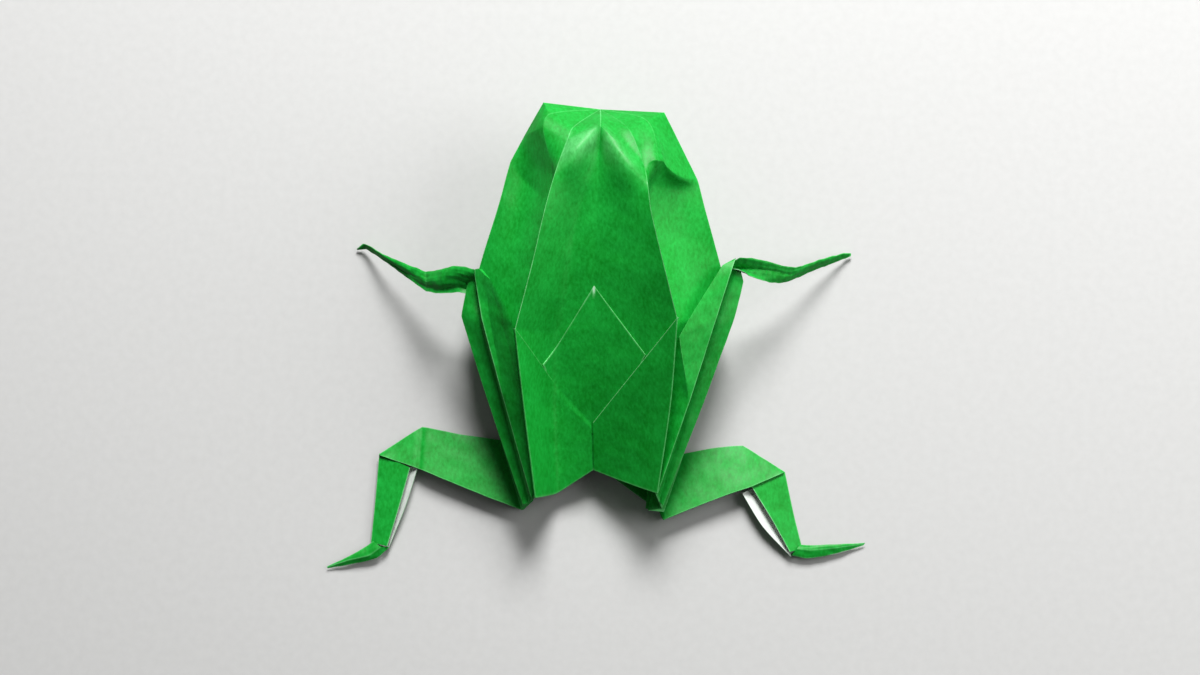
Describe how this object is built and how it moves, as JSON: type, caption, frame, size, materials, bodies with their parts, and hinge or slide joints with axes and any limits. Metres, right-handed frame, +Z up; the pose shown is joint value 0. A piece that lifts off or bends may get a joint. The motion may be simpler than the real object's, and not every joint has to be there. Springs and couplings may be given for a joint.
{
  "type": "origami frog",
  "caption": "Frog folded from one square sheet of green paper, blown up hollow through its tail, with folded forelegs and hind legs spread to its sides.",
  "frame": {"origin": "middle of the floor under the frog, at the level of the undersides of its thighs", "axes": "+Y towards the nose, +Z up, +X to the right seen from above with the nose away from the viewer"},
  "size_m": [0.0712, 0.0608, 0.0191],
  "materials": {
    "green_paper": "matt coloured paper, green outside and white inside, with worn pale creases"
  },
  "bodies": {
    "root": {"folded_sheet": "green_paper"}
  },
  "joints": []
}
